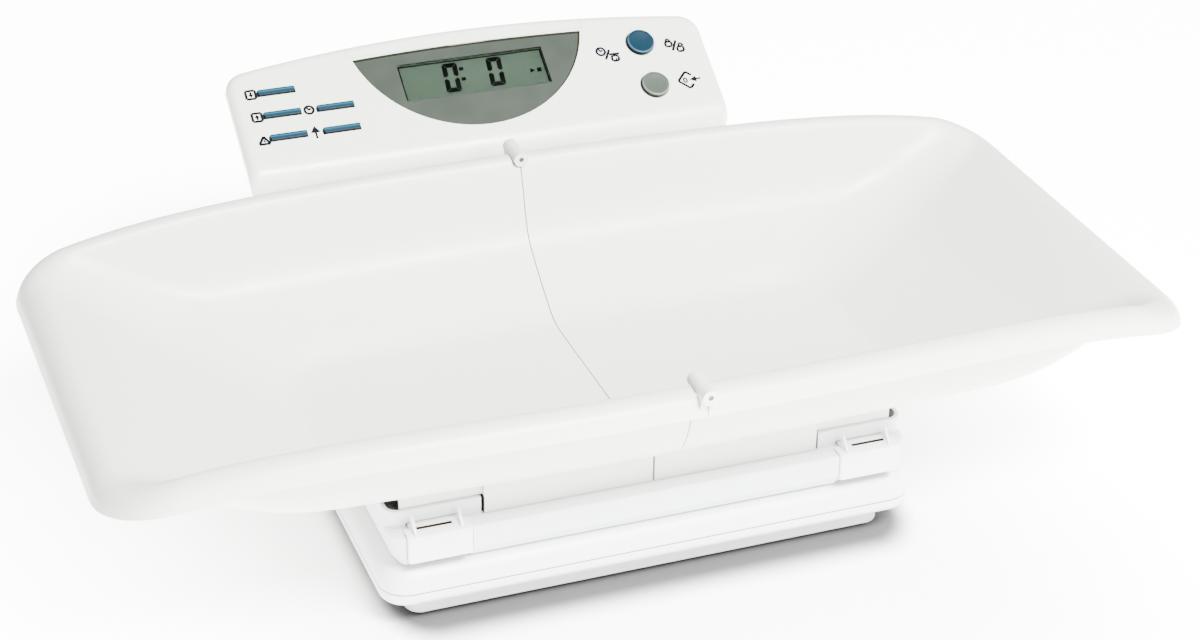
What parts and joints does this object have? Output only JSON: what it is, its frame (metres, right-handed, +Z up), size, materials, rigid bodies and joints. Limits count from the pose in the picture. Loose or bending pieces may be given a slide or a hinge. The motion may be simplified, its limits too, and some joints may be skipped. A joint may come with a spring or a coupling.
{
  "type": "digital baby scale",
  "caption": "Baby weighing scale with a folding open tray, a low weighing platform on a flat base, and a tilted console with a display and press buttons behind.",
  "frame": {"origin": "middle of the overall footprint, on the table under the rubber feet", "axes": "+Z up; +X to the right of the person reading the display, along the tray; +Y away from that person, towards the console"},
  "size_m": [0.6178, 0.416, 0.1911],
  "materials": {
    "tray_plastic": "gloss",
    "white_plastic": "satin",
    "pin_steel": "satin",
    "plate_steel": "satin",
    "screw_steel": "satin",
    "rubber_black": "matte",
    "rubber_grey": "matte",
    "cell_aluminium": "satin",
    "black_plastic": "matte",
    "cell_jacket": "gloss",
    "contact_metal": "satin",
    "panel_plastic": "gloss",
    "window_clear": "gloss",
    "lcd_surface": "satin",
    "board_green": "satin",
    "component_black": "matte",
    "button_blue": "satin",
    "button_grey": "satin",
    "lead_grey": "matte"
  },
  "bodies": {
    "base": {"load_cell": "cell_aluminium", "load_cell_foot_block": "plate_steel", "load_cell_screws_lower": "screw_steel", "base_bottom_pan": "white_plastic", "base_top_cover": "white_plastic", "base_screws": "screw_steel", "rubber_feet": "rubber_grey", "overload_pillars": "plate_steel", "riser_front_cover": "white_plastic", "riser_rear_cover": "white_plastic", "riser_screws": "screw_steel", "console_front_shell": "white_plastic", "console_top_strip": "white_plastic", "console_rear_shell": "white_plastic", "console_screws": "screw_steel", "battery_holder": "black_plastic", "battery_cells": "cell_jacket", "battery_contacts": "contact_metal", "display_panel": "panel_plastic", "display_window": "window_clear", "lcd_glass": "lcd_surface", "lcd_frame": "black_plastic", "main_board": "board_green", "board_components": "component_black", "beeper": "component_black", "tact_switches": "component_black", "power_jack": "black_plastic", "signal_lead": "lead_grey"},
    "tray_right": {"tray_right": "tray_plastic", "hinge_pin_front": "pin_steel", "hinge_pin_rear": "pin_steel"},
    "tray_left": {"tray_left": "tray_plastic"},
    "platform": {"platform_shell": "white_plastic", "platform_plate": "plate_steel", "plate_screws": "screw_steel", "platform_pads": "rubber_black", "load_cell_top_block": "plate_steel", "load_cell_screws_upper": "screw_steel"},
    "latch_right": {"latch_right": "white_plastic"},
    "latch_left": {"latch_left": "white_plastic"},
    "battery_door": {"battery_door": "white_plastic"},
    "button_store": {"button_store": "button_blue"},
    "button_recall": {"button_recall": "button_blue"},
    "button_compare": {"button_compare": "button_blue"},
    "button_clock": {"button_clock": "button_blue"},
    "button_up": {"button_up": "button_blue"},
    "button_hold": {"button_hold": "button_blue"},
    "button_zero": {"button_zero": "button_grey"}
  },
  "joints": [
    {"name": "platform_sink", "type": "slide", "parent": "base", "child": "platform", "axis": [0, 0, 1], "range_m": [-0.0008, 0], "stiffness_N_per_m": 100000, "springref_m": 0.0003, "deforming": ["load_cell"]},
    {"name": "tray_lift", "type": "slide", "parent": "platform", "child": "tray_right", "axis": [0, 0, 1], "range_m": [0, 0.1]},
    {"name": "tray_fold", "type": "hinge", "parent": "tray_right", "child": "tray_left", "pos_m": [0, -0.05, 0.1536], "axis": [0, 1, 0], "range_deg": [0, 178]},
    {"name": "latch_right_slide", "type": "slide", "parent": "platform", "child": "latch_right", "axis": [0, 1, 0], "range_m": [0, 0.0024]},
    {"name": "latch_left_slide", "type": "slide", "parent": "platform", "child": "latch_left", "axis": [0, 1, 0], "range_m": [0, 0.0024]},
    {"name": "battery_door_slide", "type": "slide", "parent": "base", "child": "battery_door", "axis": [0, 1, 0], "range_m": [0, 0.04]},
    {"name": "button_store_press", "type": "slide", "parent": "base", "child": "button_store", "axis": [0, 0.5429, -0.8398], "range_m": [0, 0.001], "stiffness_N_per_m": 400, "springref_m": -0.0006},
    {"name": "button_recall_press", "type": "slide", "parent": "base", "child": "button_recall", "axis": [0, 0.5429, -0.8398], "range_m": [0, 0.001], "stiffness_N_per_m": 400, "springref_m": -0.0006},
    {"name": "button_compare_press", "type": "slide", "parent": "base", "child": "button_compare", "axis": [0, 0.5429, -0.8398], "range_m": [0, 0.001], "stiffness_N_per_m": 400, "springref_m": -0.0006},
    {"name": "button_clock_press", "type": "slide", "parent": "base", "child": "button_clock", "axis": [0, 0.5429, -0.8398], "range_m": [0, 0.001], "stiffness_N_per_m": 400, "springref_m": -0.0006},
    {"name": "button_up_press", "type": "slide", "parent": "base", "child": "button_up", "axis": [0, 0.5429, -0.8398], "range_m": [0, 0.001], "stiffness_N_per_m": 400, "springref_m": -0.0006},
    {"name": "button_hold_press", "type": "slide", "parent": "base", "child": "button_hold", "axis": [0, 0.5429, -0.8398], "range_m": [0, 0.001], "stiffness_N_per_m": 400, "springref_m": -0.0006},
    {"name": "button_zero_press", "type": "slide", "parent": "base", "child": "button_zero", "axis": [0, 0.5429, -0.8398], "range_m": [0, 0.001], "stiffness_N_per_m": 400, "springref_m": -0.0006}
  ]
}
